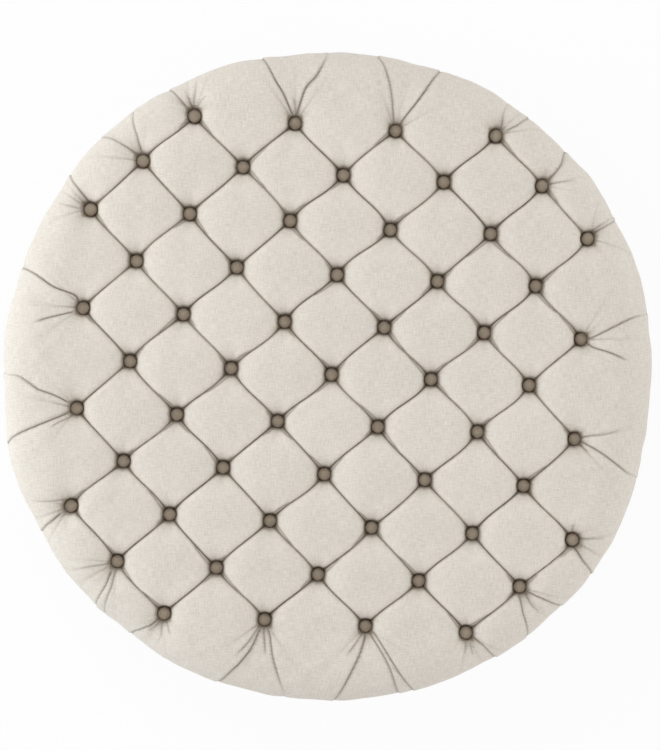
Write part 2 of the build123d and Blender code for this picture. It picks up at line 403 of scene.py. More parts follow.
def draw_in_creases(u, v, crease_shade, pick):
    """Shoulders that meet in a fine line, with painted shade along it. Gives the depth, and how
    near to a crease each place lies, for a painted highlight on the shoulders.
    """
    line_width, line_flare, flare_length = 0.0011, 0.0024, 0.0055
    line_depth, end_depth = 0.0016, 0.0012
    second_width, second_depth, second_shade = 0.0015, 0.0018, 0.60
    start_gap, end_gap = 0.0052, 0.0004
    half_pillow = 0.52      # of a diamond's side, and a little over
    high, broad, groove = np.ones_like(u), np.ones_like(u), np.zeros_like(u)
    for a, b in creases:
        away, along, side, _ = from_line(u, v, a, b)
        near = away < half_pillow
        away, along, side = away[near], along[near], side[near]
        off = away * diamond
        inwards = np.clip(1 - off / shoulder_width, 0, 1)
        high[near] *= np.sqrt(1 - 0.98 * inwards ** 2)
        broad[near] *= 1 - np.clip(1 - 2 * away, 0, 1) ** 2
        ends = np.abs(2 * along - 1)
        # The line widens where it runs into a button's hollow.
        mouth = fading(np.minimum(along, 1 - along) * diamond, button_width / 2, flare_length)
        cut = bell(off, line_width + line_flare * mouth)
        raise_to(groove, near, cut * (line_depth + end_depth * ends))
        # Painted shade along the crease line, its strength picked for each crease and full towards
        # the buttons.
        dark = pick.uniform(0.62, 1.0)
        raise_to(crease_shade, near, cut * (dark + (1 - dark) * ends ** 2))
        # A second, shorter fold beside some of them, running out of one button, with painted shade
        # along it.
        for t in (along, 1 - along):
            way, reach, chance = pick.choice((-1, 1)), pick.uniform(0.25, 0.55), pick.uniform()
            if chance < 0.45:
                continue
            gap = way * (start_gap * np.clip(1 - t / reach, 0, 1) ** 0.8 + end_gap)
            fade = ease((reach - t) / 0.12) * ease((t - 0.06) / 0.06)
            second = bell(side * diamond - gap, second_width) * fade
            raise_to(groove, near, second * second_depth)
            raise_to(crease_shade, near, second * second_shade)
    # The second value is where a painted highlight lightens the pillows' shoulders towards the
    # creases.
    return shoulder * (1 - high) + crown_rise * (1 - broad) + groove, 1 - broad


def ripples(angle, count, pick):
    """Even waves round a button, from a random start."""
    return np.cos(count * angle + pick.uniform(0, 6))


def sink_buttons(x, y, depth, crease_shade, shade, pick):
    """A funnel, puckers and soft painted shade round each button, and gathers at the outer ones.
    """
    funnel_reach, steepness = 0.09, 2.8
    pucker, pucker_ring, pucker_width = 0.00045, 0.019, 0.009
    shade_length, lobe_shade_length = 0.0052, 0.0075
    square_half, square_edge = 0.0103, 0.0032
    gather, gather_length, root_length = 0.0014, 0.026, 0.0060
    for i, j in button_spots:
        bx, by = button_place(i, j)
        d = np.hypot(x - bx, y - by)
        near = d < funnel_reach
        d, dx, dy = d[near], x[near] - bx, y[near] - by
        north, angle = northward(dx, dy, d), np.arctan2(dy, dx)
        across = sink_radius + sink_widening * north ** 2
        depth[near] += sink / (1 + (d / across) ** steepness)
        k1, k2 = pick.randint(5, 9), pick.randint(9, 14)
        ripple = ripples(angle, k1, pick) + 0.6 * ripples(angle, k2, pick)
        depth[near] += pucker * ripple * bell(d - pucker_ring, pucker_width)
        spokes = ripples(angle, pick.randint(17, 23), pick) + 0.5 * ripples(angle, 11, pick)
        # Painted shade round the hollow, reaching furthest to the north and a little to the south.
        reach = (0.05 + pick.uniform(0.30, 0.56) * np.clip(north, 0, 1) ** 1.5
                 + pick.uniform(0.20, 0.40) * np.clip(-north, 0, 1) ** 2)
        soft = fading(d, hollow_edge, shade_length) * reach * (1 + 0.22 * spokes)
        raise_to(shade, near, np.clip(soft, 0, 1))
        # The hollow is nearly square, and its painted shade runs a little way into the four
        # creases.
        far_soft = fading(d, hollow_edge, lobe_shade_length)
        straight = np.maximum(np.abs(north), np.sqrt(1 - np.clip(north ** 2, 0, 1)))
        square = 1 - ease((d * straight - square_half) / square_edge)
        for quarter in range(4):
            lobe = np.clip(np.cos(angle - math.pi / 4 - quarter * math.pi / 2), 0, 1)
            mouth = np.maximum(far_soft * lobe ** 22, 1.35 * square * lobe ** 3)
            raise_to(shade, near, np.clip(mouth * pick.uniform(0.35, 0.95), 0, 1))
        if (i, j) in outer_spots:
            # Gathers fan outwards from an outer button, with painted shade along their lines and
            # at their roots.
            off = np.angle(np.exp(1j * (angle - math.atan2(by, bx))))
            fan = ease((1.25 - np.abs(off)) / 0.6)
            strength = ease((d - button_width / 2) / 0.006) * np.exp(-d / gather_length)
            comb = ripples(off, pick.uniform(9, 12), pick)
            comb = comb + 0.7 * ripples(off, pick.uniform(17, 22), pick)
            depth[near] += gather * comb * strength * fan
            raise_to(crease_shade, near, 0.80 * ease(1.8 * comb - 1.6) * fan * strength)
            root = fading(d, hollow_edge, root_length) * fan * (0.40 + 0.25 * comb)
            raise_to(shade, near, np.clip(root, 0, 1))


def draw_valleys(x, y, depth):
    """A valley that widens from each outer button over the rim."""
    deepest, left, deep_length = 0.0070, 0.0014, 0.030
    narrowest, widening, wide_reach = 0.020, 0.10, 0.2
    s = np.hypot(x, y)
    for i, j in outer_spots:
        bx, by = button_place(i, j)
        out = Vector((bx, by)).normalized()
        across = -(x - bx) * out.y + (y - by) * out.x
        along = (x - bx) * out.x + (y - by) * out.y
        width = narrowest + widening * np.clip(along, 0, wide_reach)
        height = deepest * fading(along, 0, deep_length) + left
        height = height * (1 - 0.6 * ease((s - cloth_reach + 0.05) / 0.05))
        depth += ease(along / 0.02) * height * bell(across, width)


def lay_pleats(x, y, depth, crease_shade):
    """Laps one side of each pleat over the other, with a sharp fold between them and painted shade
    along the fold.
    """
    over_share, over_length = 0.55, 0.0085
    under_share, under_length = 0.45, 0.0075
    lap_width, fold_width, fold_depth, reach = 0.0026, 0.0014, 0.0006, 0.03
    turning = flat_reach + 0.70 * round_length
    for lap, height, points, end_fade, rim_fade in pleats:
        total = sum((b - a).length for a, b in zip(points, points[1:]))
        box = beside(x, y, points, reach)
        px, py = x[box], y[box]
        best, signed, share = np.full_like(px, far_off), np.zeros_like(px), np.zeros_like(px)
        done = 0.0
        for a, b in zip(points, points[1:]):
            away, along, side, _ = from_line(px, py, a, b)
            closer = away < best
            best = np.where(closer, away, best)
            signed = np.where(closer, np.sign(side) * away, signed)
            share = np.where(closer, (done + along * (b - a).length) / total, share)
            done += (b - a).length
        fade = ease(share / 0.04 + 0.35) * (1 - ease((share - 0.62) / 0.38) * end_fade)
        fade = fade * (1 - rim_fade * bell(np.hypot(px, py) - turning, 0.028))
        n = signed * lap
        over = np.where(n > 0, -over_share * np.exp(-n / over_length),
                        under_share * np.exp(n / under_length))
        over = over * ease(np.abs(n) / lap_width)
        cut = bell(n + 0.0003, fold_width)
        depth[box] += fade * (height * over + (fold_depth + 0.35 * height) * cut)
        # Painted shade along the pleat's fold.
        raise_to(crease_shade, box, fade * cut * min(0.95, 0.2 + height / 0.0040))


def button_pits(x, y):
    """The pit that each button sits in, and where the cloth is drawn straight down to it."""
    plumb_radius, plumb_fade = 0.014, 0.026
    pit, plumb = np.zeros_like(x), np.zeros_like(x)
    for i, j in button_spots:
        bx, by = button_place(i, j)
        d = np.hypot(x - bx, y - by)
        north = northward(x - bx, y - by, d)
        wall = (d - pit_radius - 0.0002 * north ** 2) / (pit_wall + 0.0008 * north ** 2)
        pit = np.maximum(pit, 1 - ease(wall))
        plumb = np.maximum(plumb, 1 - ease((d - plumb_radius) / plumb_fade))
    return pit, plumb


def cover_surface(u, v, x, y):
    """Where each place of the flat cloth comes to lie, and the marks for its colour: painted shade
    and a painted highlight.
    """
    pick = np.random.RandomState(19)
    crease_shade, shade = np.zeros_like(u), np.zeros_like(u)
    depth, shoulder_light = draw_in_creases(*bowed(u, v), crease_shade, pick)
    sink_buttons(x, y, depth, crease_shade, shade, pick)
    draw_valleys(x, y, depth)
    lay_pleats(x, y, depth, crease_shade)
    # The filling isn't quite even.
    depth += 0.0007 * rolling(x, y, 0.16, 3) + 0.00035 * rolling(x, y, 0.045, 5)
    pit, plumb = button_pits(x, y)
    depth = depth + (pit_depth - depth) * pit
    depth = depth * (1 - ease((np.hypot(x, y) - cloth_reach + 0.012) / 0.012))
    place, out = wrap(x, y)
    # A pit goes straight down, also on the rim's slope.
    down = np.stack((out[:, 0] * (1 - plumb), out[:, 1] * (1 - plumb), out[:, 2] + 3 * plumb),
                    axis=1)
    down /= np.linalg.norm(down, axis=1)[:, None]
    # Painted shade in the creases, folds, pits and round the buttons, and a painted highlight on
    # the pillows' shoulders.
    marks = {"crease_shade": np.clip(crease_shade, 0, 1), "pit": pit, "shade": shade, "shoulder_light": shoulder_light}
    return place - down * depth[:, None], marks


def gathered_to_pleats(x, y):
    """Brings the mesh closer together at each pleat, so that its edge runs clean."""
    reach = 0.0055
    for _, _, points, _, _ in pleats:
        box = beside(x, y, points, reach)
        px, py = x[box], y[box]
        best = np.full_like(px, far_off)
        shift = np.zeros((2, len(px)))
        last = len(points) - 2
        for k, (a, b) in enumerate(zip(points, points[1:])):
            away, along, _, t = from_line(px, py, a, b)
            closer = (away < best) & (away < reach)
            best = np.where(closer, away, best)
            pull = away * (1 - (away / reach) ** 0.75)
            if k == 0:
                pull = pull * np.clip(t / 0.8, 0, 1)
            if k == last:
                pull = pull * np.clip((1 - t) / 0.8, 0, 1)
            tx, ty = a[0] + along * (b[0] - a[0]) - px, a[1] + along * (b[1] - a[1]) - py
            size = np.maximum(np.hypot(tx, ty), 1e-9)
            shift[0] = np.where(closer, tx / size * pull, shift[0])
            shift[1] = np.where(closer, ty / size * pull, shift[1])
        x[box] += shift[0]
        y[box] += shift[1]
    return x, y


# Meshes and pieces

def mesh_points(mesh):
    flat = np.empty(len(mesh.vertices) * 3)
    mesh.vertices.foreach_get("co", flat)
    return flat.reshape(-1, 3)


def put_points(mesh, points):
    mesh.vertices.foreach_set("co", np.ascontiguousarray(points, dtype=np.float64).ravel())
    mesh.update()


def put_uv(mesh, name, places):
    """places is one pair of metres for each vertex."""
    layer = mesh.uv_layers.new(name=name)
    corner = np.empty(len(mesh.loops), dtype=np.int32)
    mesh.loops.foreach_get("vertex_index", corner)
    flat = np.ascontiguousarray(places[corner], dtype=np.float32).ravel()
    layer.data.foreach_set("uv", flat)


def put_values(mesh, name, values):
    layer = mesh.attributes.new(name, "FLOAT", "POINT")
    layer.data.foreach_set("value", values.astype(np.float32))


def opened(mesh):
    bm = bmesh.new()
    bm.from_mesh(mesh)
    return bm


def closed(bm, mesh):
    """Puts a bmesh into a mesh, or into a new one of the given name."""
    if isinstance(mesh, str):
        mesh = bpy.data.meshes.new(mesh)
    bm.to_mesh(mesh)
    bm.free()
    return mesh


def linked(name, data):
    obj = bpy.data.objects.new(name, data)
    bpy.context.scene.collection.objects.link(obj)
    return obj


def piece(name, shape, material, slot, *nodes):
    """A finished object from a mesh or a bmesh. It replaces the nodes that are named."""
    mesh = closed(shape, name) if isinstance(shape, bmesh.types.BMesh) else shape
    obj = linked(name, mesh)
    mesh.materials.clear()
    mesh.materials.append(material)
    mesh.polygons.foreach_set("use_smooth", [True] * len(mesh.polygons))
    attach(obj, "root")
    if nodes:
        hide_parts(*nodes)
    return obj


def sharpen(mesh, degrees):
    """Keeps edges crisp where two faces meet at more than the angle."""
    bm = opened(mesh)
    for edge in bm.edges:
        if len(edge.link_faces) == 2 and edge.calc_face_angle(0) > math.radians(degrees):
            edge.smooth = False
    closed(bm, mesh)


def spin_line(bm, profile, steps, ring=False, layer=None, marks=()):
    """Spins a line of (radius, height) once round, joins it where it meets, and gives the new
    vertices. A ring is a line that closes on itself. marks are kept in the layer."""
    before = set(bm.verts)
    line = [bm.verts.new((r, 0, z)) for r, z in profile]
    for vert, mark in zip(line, marks):
        vert[layer] = float(mark)
    edges = [bm.edges.new(pair) for pair in zip(line, line[1:])]
    if ring:
        edges.append(bm.edges.new((line[-1], line[0])))
    bmesh.ops.spin(bm, geom=line + edges, cent=(0, 0, 0), axis=(0, 0, 1), angle=math.tau,
                   steps=steps, use_merge=True)
    new = [vert for vert in bm.verts if vert not in before]
    bmesh.ops.remove_doubles(bm, verts=new, dist=1e-6)
    return [vert for vert in bm.verts if vert not in before]


def polar(co):
    """How far from the middle a place lies on the plan, and its direction."""
    return math.hypot(co.x, co.y), math.atan2(co.y, co.x)


def pushed(co, radius, height):
    """A place moved out or in to the radius, at the height."""
    k = radius / math.hypot(co.x, co.y)
    return co.x * k, co.y * k, height


def faces_out(bm):
    bmesh.ops.recalc_face_normals(bm, faces=bm.faces)


def bevelled(bm, edges, offset, segments):
    return bmesh.ops.bevel(bm, geom=edges, offset=offset, offset_type="OFFSET", profile=0.5,
                           segments=segments, affect="EDGES", material=-1)["verts"]


# Materials

def make_group(name, inputs, outputs):
    tree = bpy.data.node_groups.new(name, "ShaderNodeTree")
    for label, kind, value in inputs:
        socket = tree.interface.new_socket(name=label, in_out="INPUT",
                                           socket_type="NodeSocket" + kind)
        if value is not None:
            socket.default_value = value
    for label, kind in outputs:
        tree.interface.new_socket(name=label, in_out="OUTPUT", socket_type="NodeSocket" + kind)
    return tree, tree.nodes.new("NodeGroupInput"), tree.nodes.new("NodeGroupOutput")


class Bench:
    """Short calls that place nodes in one tree and join them."""

    def __init__(self, tree):
        self.tree = tree

    def fill(self, socket, value):
        if isinstance(value, bpy.types.NodeSocket):
            self.tree.links.new(value, socket)
        elif value is not None:
            socket.default_value = value

    def named(self, node, **values):
        """Fills inputs by their names, where _ stands for a space."""
        for label, value in values.items():
            self.fill(node.inputs[label.replace("_", " ")], value)
        return node

    def new(self, kind, *values, **settings):
        """A shader node with its settings, and its first inputs filled in order."""
        node = self.tree.nodes.new("ShaderNode" + kind)
        for label, value in settings.items():
            setattr(node, label, value)
        for socket, value in zip(node.inputs, values):
            self.fill(socket, value)
        return node

    def math(self, kind, a, b=None, clamp=False):
        return self.new("Math", a, b, operation=kind, use_clamp=clamp).outputs[0]

    def times(self, a, b):
        return self.math("MULTIPLY", a, b)

    def plus(self, a, b, clamp=False):
        return self.math("ADD", a, b, clamp)

    def minus(self, a, b, clamp=False):
        return self.math("SUBTRACT", a, b, clamp)

    def span(self, value, low, high, to_low=0.0, to_high=1.0):
        return self.new("MapRange", value, low, high, to_low, to_high,
                        interpolation_type="SMOOTHSTEP").outputs[0]

    def mix(self, share, a, b):
        node = self.new("Mix", share, data_type="RGBA")
        self.fill(node.inputs[6], a)
        self.fill(node.inputs[7], b)
        return node.outputs[2]

    def noise(self, vector, scale, detail=2.0, rough=0.5, distort=0.0):
        return self.named(self.new("TexNoise"), Vector=vector, Scale=scale,
                          Detail=detail, Roughness=rough, Distortion=distort).outputs["Fac"]

    def mapped(self, vector, scale=(1, 1, 1), turned=(0, 0, 0), moved=(0, 0, 0)):
        return self.named(self.new("Mapping"), Vector=vector, Scale=scale,
                          Rotation=turned, Location=moved).outputs[0]

    def split(self, vector):
        return self.new("SeparateXYZ", vector).outputs

    def bump(self, height, strength, distance):
        return self.named(self.new("Bump"), Height=height, Strength=strength,
                          Distance=distance).outputs[0]

    def place(self, tree, **values):
        return self.named(self.new("Group", node_tree=tree), **values).outputs

    def toned(self, place, light, deep, share, size):
        return self.place(tone, Place=place, Light=light, Deep=deep, Grain=share, Size=size)[0]

    def object_place(self):
        return self.new("TexCoord").outputs["Object"]

    def uv(self, name):
        return self.new("UVMap", uv_map=name).outputs[0]

    def attribute(self, name):
        return self.new("Attribute", attribute_name=name).outputs["Fac"]

    def mix_shaders(self, share, a, b):
        return self.new("MixShader", share, a.outputs[0], b.outputs[0])

    def seen_straight(self):
        """The light path, and 1 where the camera looks here, or a gloss or a clear piece does."""
        seen = self.new("LightPath")
        straight = self.math("MAXIMUM", seen.outputs["Is Camera Ray"],
                             seen.outputs["Is Glossy Ray"])
        return seen, self.math("MAXIMUM", straight, seen.outputs["Is Transmission Ray"])


def make_weave_group():
    """Plain weave: threads over and under, thick and thin places, and the gaps between."""
    tree, given, out = make_group(
        "plain weave",
        (("Place", "Vector", None), ("Threads per metre", "Float", 900.0),
         ("Slub", "Float", 0.5)),
        (("Thread", "Float"), ("Slubs", "Float"),
         ("Height", "Float")))
    b = Bench(tree)
    place, count, slub = given.outputs[:3]
    x, y, _ = b.split(place)
    wander = b.times(b.minus(b.noise(place, 34.0, 3.0), 0.5), 0.006)
    across = b.times(b.plus(x, wander), count)
    along = b.times(b.minus(y, wander), count)
    su = b.math("SINE", b.times(across, math.pi))
    sv = b.math("SINE", b.times(along, math.pi))
    cross = b.times(su, sv)
    thread = b.plus(b.times(cross, 0.5), 0.5)
    gap = b.times(b.math("ABSOLUTE", su), b.math("ABSOLUTE", sv))
    warp_slub = b.noise(b.mapped(place, (760, 75, 1)), 1.0, 2.0, 0.65)
    weft_slub = b.noise(b.mapped(place, (75, 760, 1), moved=(3.1, 7.7, 0)), 1.0, 2.0, 0.65)
    slubs = b.times(b.plus(warp_slub, weft_slub), 0.5)
    height = b.plus(b.times(thread, 0.45), b.times(gap, 0.35))
    height = b.plus(height, b.times(b.minus(slubs, 0.5), slub))
    for value, socket in zip((gap, slubs, height), out.inputs):
        b.fill(socket, value)
    return tree


def make_tone_group():
    """Two close tones that drift over the surface, by a share that the material gives."""
    tree, given, out = make_group(
        "drifting tone",
        (("Place", "Vector", None), ("Light", "Color", (1, 1, 1, 1)),
         ("Deep", "Color", (0.5, 0.5, 0.5, 1)), ("Grain", "Float", 0.5),
         ("Size", "Float", 6.0)),
        (("Colour", "Color"),))
    b = Bench(tree)
    place, light, deep, grain, size = given.outputs[:5]
    cloud = b.times(b.minus(b.noise(place, size, 3.0, 0.55), 0.5), 0.5)
    b.fill(out.inputs[0], b.mix(b.plus(cloud, grain, clamp=True), deep, light))
    return tree


def make_grain_group():
    """Wood: long streaks, fine pores and slow bands."""
    tree, given, out = make_group(
        "wood grain",
        (("Place", "Vector", None), ("Light", "Color", (0.6, 0.4, 0.2, 1)),
         ("Deep", "Color", (0.3, 0.18, 0.08, 1)), ("Pores", "Float", 0.4)),
        (("Colour", "Color"), ("Height", "Float")))
    b = Bench(tree)
    place, light, deep, pores = given.outputs[:4]
    bands = b.new("TexWave", wave_type="BANDS", bands_direction="X")
    b.named(bands, Vector=b.mapped(place, (1, 1, 0.12)), Scale=26.0, Distortion=5.5, Detail=3.0,
            Detail_Scale=1.4)
    fine = b.noise(b.mapped(place, (900, 900, 28)), 1.0, 2.0, 0.6)
    streak = b.noise(b.mapped(place, (120, 120, 5)), 1.0, 3.0, 0.6)
    share = b.plus(b.times(bands.outputs["Fac"], 0.45), b.times(streak, 0.55))
    dark = b.times(b.span(fine, 0.56, 0.72), pores)
    share = b.minus(share, dark, clamp=True)
    b.fill(out.inputs[0], b.mix(share, deep, light))
    b.fill(out.inputs[1], b.minus(share, dark))
    return tree


weave = make_weave_group()
tone = make_tone_group()
grain = make_grain_group()

cream_light = (0.822, 0.772, 0.706, 1)
cream_deep = (0.664, 0.609, 0.539, 1)
# Painted light and shade on the cover: a highlight for the pillows' shoulders, and shade for the
# creases, folds, pits and the hollows round the buttons.
shoulder_highlight_cream = (0.900, 0.842, 0.760, 1)
crease_shade_brown = (0.115, 0.084, 0.056, 1)
hollow_shade_brown = (0.275, 0.208, 0.132, 1)
taupe_light = (0.530, 0.446, 0.350, 1)
taupe_deep = (0.300, 0.242, 0.182, 1)
# Painted shade for the buttons' rolled edges.
taupe_edge_shade = (0.110, 0.082, 0.055, 1)
twine_light = (0.78, 0.72, 0.58, 1)
twine_deep = (0.42, 0.36, 0.26, 1)
black_light = (0.050, 0.049, 0.048, 1)
black_deep = (0.012, 0.012, 0.013, 1)


def bare_tree(owner, kind):
    """Empties the node tree of a material or a world. Gives its bench and its output."""
    owner.use_nodes = True
    owner.node_tree.nodes.clear()
    bench = Bench(owner.node_tree)
    return bench, bench.new(kind).inputs["Surface"]


def start_material(name):
    material = bpy.data.materials.new(name)
    b, surface = bare_tree(material, "OutputMaterial")
    shader = b.new("BsdfPrincipled")
    b.fill(surface, shader.outputs[0])
    return material, shader, b


def linen(name, painted_light_marks):
    """Cover cloth. The second argument says whether the piece carries the tufting's painted light
    and shade.
    """
    material, shader, b = start_material(name)
    place = b.uv("cloth")
    gap, slub, height = b.place(weave, Place=place, Threads_per_metre=760.0, Slub=0.85)
    slubs = b.span(slub, 0.32, 0.68, -0.1, 1.05)
    share = b.times(slubs, b.span(gap, 0.0, 0.35, 0.72, 1.0))
    colour = b.toned(place, cream_light, cream_deep, share, 5.0)
    if painted_light_marks:
        # Painted light and shade: a painted highlight on the pillows' shoulders towards the
        # creases, painted shade round the buttons' hollows, along the creases and folds, and a
        # little in the pits.
        for mark, strength, tint in (
                (b.attribute("shoulder_light"), 0.18, shoulder_highlight_cream),
                (b.attribute("shade"), 0.80, hollow_shade_brown),
                (b.attribute("crease_shade"), 0.90, crease_shade_brown),
                (b.span(b.attribute("pit"), 0.2, 1.0), 0.10, crease_shade_brown)):
            colour = b.mix(b.times(mark, strength), colour, tint)
    b.named(shader, Base_Color=colour, Roughness=b.span(slub, 0.2, 0.8, 0.96, 0.86),
            Specular_IOR_Level=0.25, Sheen_Weight=0.12, Sheen_Roughness=0.5,
            Sheen_Tint=(1.0, 0.97, 0.92, 1.0), Normal=b.bump(height, 0.55, 0.0006))
    return material


def button_cloth_material():
    material, shader, b = start_material("taupe button cloth")
    place = b.uv("cloth")
    gap, slub, height = b.place(weave, Place=place, Threads_per_metre=1150.0, Slub=0.5)
    share = b.times(b.span(slub, 0.3, 0.7, 0.3, 1.0), b.span(gap, 0.0, 0.5, 0.45, 1.0))
    colour = b.toned(place, taupe_light, taupe_deep, share, 70.0)
    # Painted shade: the button darkens towards its rolled edge, where the shadow of the pit falls.
    colour = b.mix(b.times(b.attribute("edge"), 0.36), colour, taupe_edge_shade)
    b.named(shader, Base_Color=colour, Roughness=0.85, Sheen_Weight=0.1,
            Normal=b.bump(height, 0.7, 0.0005))
    return material


def wood(name, light, deep, rough, pores, turned=(0, 0, 0), coat=0.0):
    material, shader, b = start_material(name)
    place = b.mapped(b.object_place(), turned=turned)
    colour, height = b.place(grain, Place=place, Light=light, Deep=deep, Pores=pores)
    b.named(shader, Base_Color=colour, Coat_Weight=coat, Coat_Roughness=0.22,
            Roughness=b.span(height, 0.0, 1.0, rough + 0.08, rough - 0.06),
            Normal=b.bump(height, 0.25, 0.0005))
    return material


def speckled(name, light, deep, rough, size, height=0.0006, metal=0.0):
    """Foam, hardboard, glides and steel: a fine speckle over a slow drift."""
    material, shader, b = start_material(name)
    place = b.object_place()
    dots = b.noise(place, size, 3.0, 0.6)
    colour = b.toned(place, light, deep, b.span(dots, 0.32, 0.68), 9.0)
    b.named(shader, Base_Color=colour, Metallic=metal, Normal=b.bump(dots, 0.4, height),
            Roughness=b.span(dots, 0.2, 0.8, rough + 0.07, rough - 0.07))
    return material


def twine_material():
    material, shader, b = start_material("waxed twine")
    lay = b.noise(b.mapped(b.object_place(), (400, 400, 900)), 1.0, 2.0, 0.5, 0.6)
    b.named(shader, Base_Color=b.mix(lay, twine_deep, twine_light), Roughness=0.7,
            Normal=b.bump(lay, 0.5, 0.0004))
    return material


def under_cloth_material():
    """Thin black bonded cloth: pressed dots and loose fibres."""
    material, shader, b = start_material("black under cloth")
    dots_per_metre = 2400.0
    place = b.object_place()
    x, y, _ = b.split(place)
    dots = b.times(b.math("SINE", b.times(x, dots_per_metre)),
                   b.math("SINE", b.times(y, dots_per_metre)))
    fibres = b.noise(b.mapped(place, (300, 900, 1), turned=(0, 0, 0.6)), 1.0, 3.0, 0.6, 1.2)
    share = b.plus(b.times(fibres, 0.7), b.times(dots, 0.15), clamp=True)
    b.named(shader, Base_Color=b.mix(share, black_deep, black_light),
            Roughness=b.span(fibres, 0.2, 0.8, 0.95, 0.8), Normal=b.bump(share, 0.4, 0.0003))
    return material


cover_linen = linen("ivory linen", True)
band_linen = linen("ivory linen of the band", False)
button_cloth = button_cloth_material()
twine = twine_material()
foam = speckled("cream foam", (0.74, 0.66, 0.44, 1), (0.60, 0.51, 0.31, 1), 0.92, 520.0)
plywood = wood("birch plywood", (0.66, 0.47, 0.28, 1), (0.44, 0.29, 0.155, 1), 0.62, 0.25,
               (0, math.pi / 2, 0))
pine = wood("pine", (0.70, 0.49, 0.26, 1), (0.50, 0.31, 0.14, 1), 0.6, 0.2)
hardboard = speckled("brown hardboard", (0.23, 0.135, 0.07, 1), (0.13, 0.075, 0.04, 1), 0.66,
                     700.0)
leg_wood = wood("dark walnut stain", (0.075, 0.036, 0.018, 1), (0.022, 0.011, 0.006, 1), 0.36,
                0.5, coat=0.35)
glide_plastic = speckled("brown glide", (0.070, 0.055, 0.045, 1), (0.035, 0.028, 0.024, 1),
                         0.55, 900.0)
steel = speckled("zinc plated steel", (0.62, 0.61, 0.58, 1), (0.40, 0.39, 0.37, 1), 0.36, 260.0,
                 0.0002, 1.0)
under_cloth = under_cloth_material()


# The tufted cover

def laid_out(steps):
    """The cloth laid flat: a grid along the creases, cut to a circle. Gives the mesh, its points,
    and each point's lattice steps and grid column and row."""
    reach = math.ceil(cloth_reach / diamond * 2) / 2
    count = int(2 * reach * steps)
    bm = bmesh.new()
    bmesh.ops.create_grid(bm, x_segments=count, y_segments=count, size=reach)
    start = closed(bm, "flat_cloth")
    grid = mesh_points(start)

    def closer(c):
        """Brings the grid lines closer together at the creases."""
        whole = np.round(c)
        t = c - whole
        return whole + t * (0.56 + 0.44 * (2 * np.abs(t)) ** 1.5)

    far = ease((np.hypot(grid[:, 0], grid[:, 1]) * diamond - flat_reach + 0.01) / 0.05)
    u = grid[:, 0] * far + closer(grid[:, 0]) * (1 - far)
    v = grid[:, 1] * far + closer(grid[:, 1]) * (1 - far)
    x, y = cloth_place(u, v)
    inside = np.hypot(x, y) <= cloth_reach - 0.0005
    layers = {"lattice_u": u, "lattice_v": v, "column": np.rint(grid[:, 0] * steps),
              "row": np.rint(grid[:, 1] * steps)}
    grid[:, 0], grid[:, 1] = x, y
    put_points(start, grid)
    for name, values in layers.items():
        put_values(start, name, values)
    bm = opened(start)
    bpy.data.meshes.remove(start)
    outside = [vert for vert, keep in zip(bm.verts, inside) if not keep]
    bmesh.ops.delete(bm, geom=outside, context="VERTS")
    for vert in bm.verts:
        if vert.is_boundary:
            vert.co *= cloth_reach / math.hypot(vert.co.x, vert.co.y)
    mesh = closed(bm, "tufted_linen")
    kept = []
    for name in layers:
        values = np.empty(len(mesh.vertices), np.float32)
        mesh.attributes[name].data.foreach_get("value", values)
        mesh.attributes.remove(mesh.attributes[name])
        kept.append(values.astype(float))
    return mesh, mesh_points(mesh), kept


def puff(u, v):
    """Blows a coarse copy up as cloth, held at its creases, buttons and seam, and gives how far
    each place of the lattice moved."""
    steps, frames, levels, most = 13, 20, 10, 0.0045
    mesh, flat, (cu, cv, column, row) = laid_out(steps)
    points, marks = cover_surface(cu, cv, flat[:, 0], flat[:, 1])
    put_points(mesh, points)
    obj = linked("blown_up", mesh)
    bu, bv = bowed(cu, cv)
    away = np.full(len(cu), far_off)
    for a, b in creases:
        away = np.minimum(away, from_line(bu, bv, a, b)[0])
    s = np.hypot(flat[:, 0], flat[:, 1])
    hold = np.maximum(marks["pit"], ease((s - cloth_reach + 0.03) / 0.015))
    hold = np.maximum(1 - ease((away - 0.03) / 0.12), hold)
    group = obj.vertex_groups.new(name="held")
    for level in range(1, levels + 1):
        members = np.nonzero(np.rint(hold * levels) == level)[0]
        if len(members):
            group.add([int(k) for k in members], level / levels, "REPLACE")
    cloth = obj.modifiers.new("cloth", "CLOTH")
    settings = cloth.settings
    settings.quality, settings.mass = 5, 0.35
    settings.tension_stiffness = settings.compression_stiffness = 18
    settings.shear_stiffness, settings.bending_stiffness = 6, 0.25
    settings.vertex_group_mass, settings.pin_stiffness = "held", 4.0
    settings.shrink_min = -0.025
    settings.use_pressure, settings.uniform_pressure_force = True, 4.0
    settings.effector_weights.gravity = 0
    cloth.collision_settings.use_collision = False
    scene = bpy.context.scene
    for number in range(1, frames + 1):
        scene.frame_set(number)
    move = mesh_points(obj.evaluated_get(bpy.context.evaluated_depsgraph_get()).data) - points
    scene.frame_set(1)
    move *= (1 - hold)[:, None] ** 0.5
    move *= (1 - 0.75 * ease((s - flat_reach + 0.03) / 0.07))[:, None]
    length = np.linalg.norm(move, axis=1)
    move *= (most * np.tanh(length / most) / np.maximum(length, 1e-9))[:, None]
    bpy.data.objects.remove(obj)
    bpy.data.meshes.remove(mesh)

    half = int(max(abs(column).max(), abs(row).max())) + 2
    table = np.zeros((2 * half + 1, 2 * half + 1, 3))
    table[column.astype(int) + half, row.astype(int) + half] = move
    for _ in range(3):
        table[1:-1, 1:-1] = 0.4 * table[1:-1, 1:-1] + 0.15 * (
            table[2:, 1:-1] + table[:-2, 1:-1] + table[1:-1, 2:] + table[1:-1, :-2])
    # The fine grid's place on the coarse one, between its four nearest points.
    gu, gv = u * steps + half, v * steps + half
    iu, iv = (np.clip(g.astype(int), 0, 2 * half - 1) for g in (gu, gv))
    tu, tv = (gu - iu)[:, None], (gv - iv)[:, None]
    return ((1 - tu) * (1 - tv) * table[iu, iv] + tu * (1 - tv) * table[iu + 1, iv]
            + (1 - tu) * tv * table[iu, iv + 1] + tu * tv * table[iu + 1, iv + 1])


